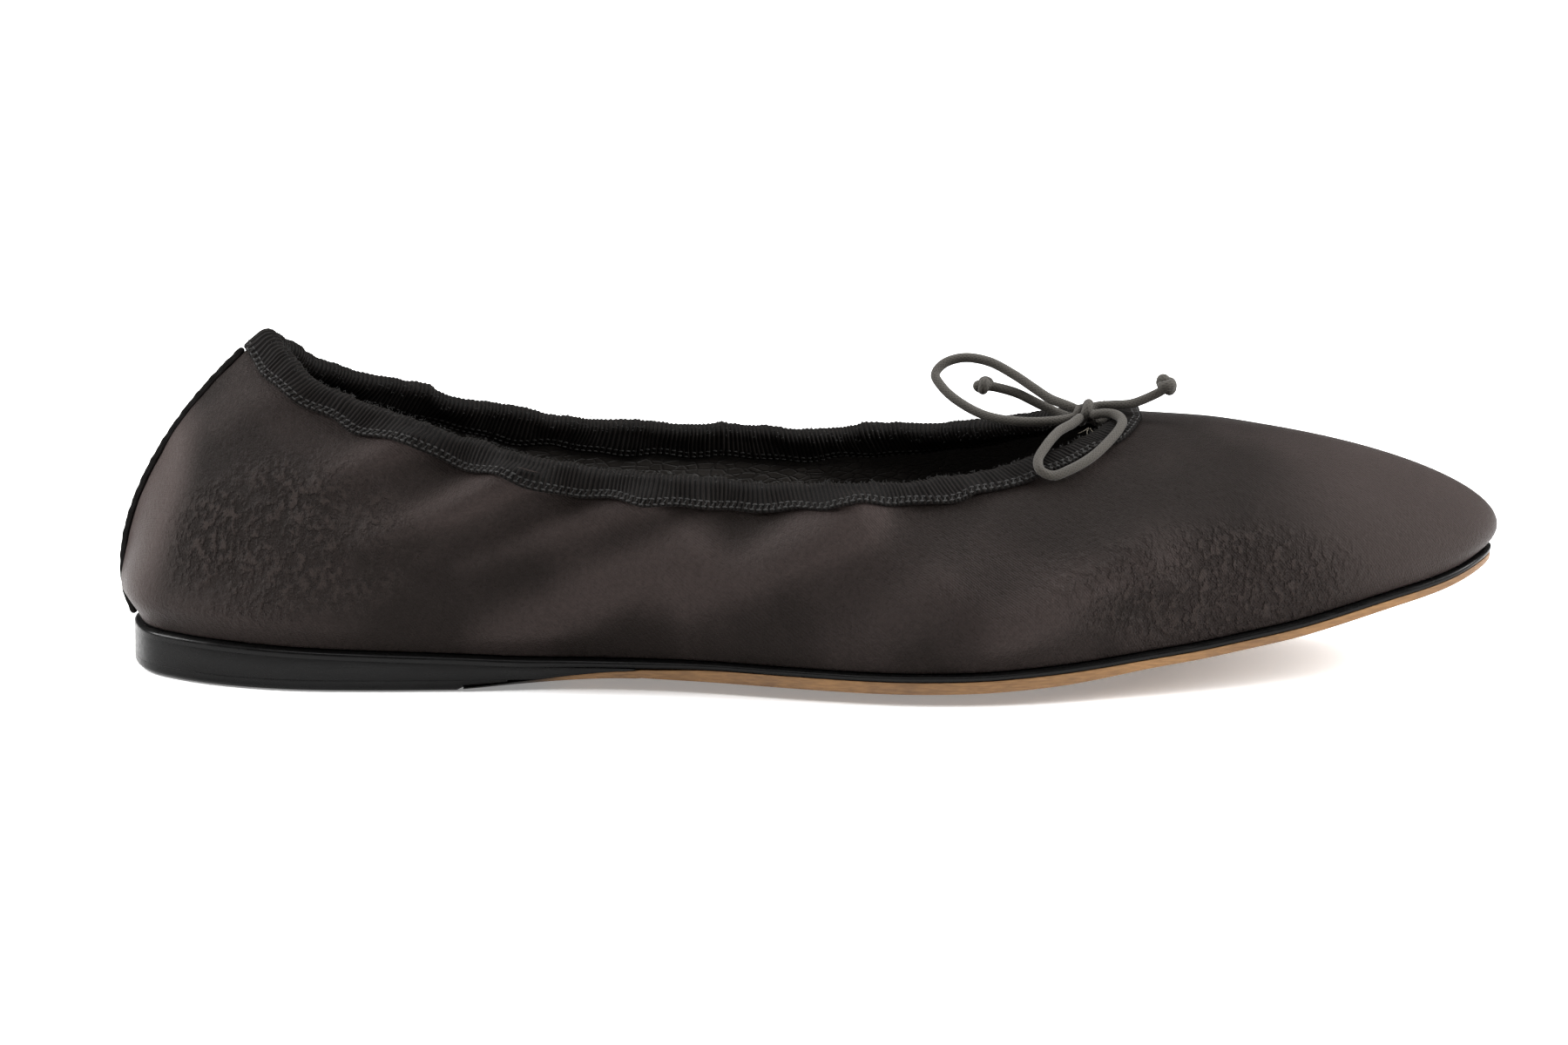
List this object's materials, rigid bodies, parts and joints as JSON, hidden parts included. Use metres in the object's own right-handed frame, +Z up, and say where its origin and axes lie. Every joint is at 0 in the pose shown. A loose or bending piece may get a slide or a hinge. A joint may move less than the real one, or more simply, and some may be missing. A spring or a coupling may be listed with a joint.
{
  "type": "ballet slipper",
  "caption": "Low ballet slipper for the right foot: satin upper on a thin leather sole with a low wedge heel, ribbon-bound topline, and a drawcord tied in a bow.",
  "frame": {"origin": "middle of the shoe's box at the floor, the bow and its cord left out", "axes": "+X towards the toe, +Y towards the inner side of the foot, +Z up"},
  "size_m": [0.2518, 0.0768, 0.0609],
  "materials": {
    "satin": "dull satin weave",
    "lining_leather": "soft grain",
    "stiffener": "matt board",
    "ribbon": "ribbed grosgrain",
    "cord": "braided",
    "foam": "open foam",
    "board": "pressed fibre board",
    "filler": "cork and felt",
    "steel": "rolled",
    "sole_rubber": "satin black",
    "outsole_leather": "smooth tan, waxed edge"
  },
  "bodies": {
    "shoe": {"upper": "satin", "lining": "lining_leather", "heel_counter": "stiffener", "toe_puff": "stiffener", "topline_binding": "ribbon", "drawcord": "cord", "back_seam": "ribbon", "sock_lining": "lining_leather", "heel_pad": "foam", "insole_board": "board", "bottom_filler": "filler", "shank": "steel", "shank_rivet_1": "steel", "shank_rivet_2": "steel", "heel_nail_1": "steel", "heel_nail_2": "steel", "heel_nail_3": "steel", "heel_nail_4": "steel", "rand": "sole_rubber", "outsole": "outsole_leather", "heel_block": "sole_rubber", "heel_top_piece": "sole_rubber"},
    "bow": {"bow_knot": "cord", "bow_tail_knot_rear": "cord", "bow_tail_knot_front": "cord", "bow_loop_rear": "cord", "bow_loop_near": "cord", "bow_tail_rear": "cord", "bow_tail_front": "cord", "cord_exit_outer": "cord", "cord_exit_inner": "cord"}
  },
  "joints": [
    {"name": "bow_lift", "type": "hinge", "parent": "shoe", "child": "bow", "pos_m": [0.0539, 0.00003, 0.0445], "axis": [1, 0, 0], "range_deg": [-40, 0]}
  ]
}
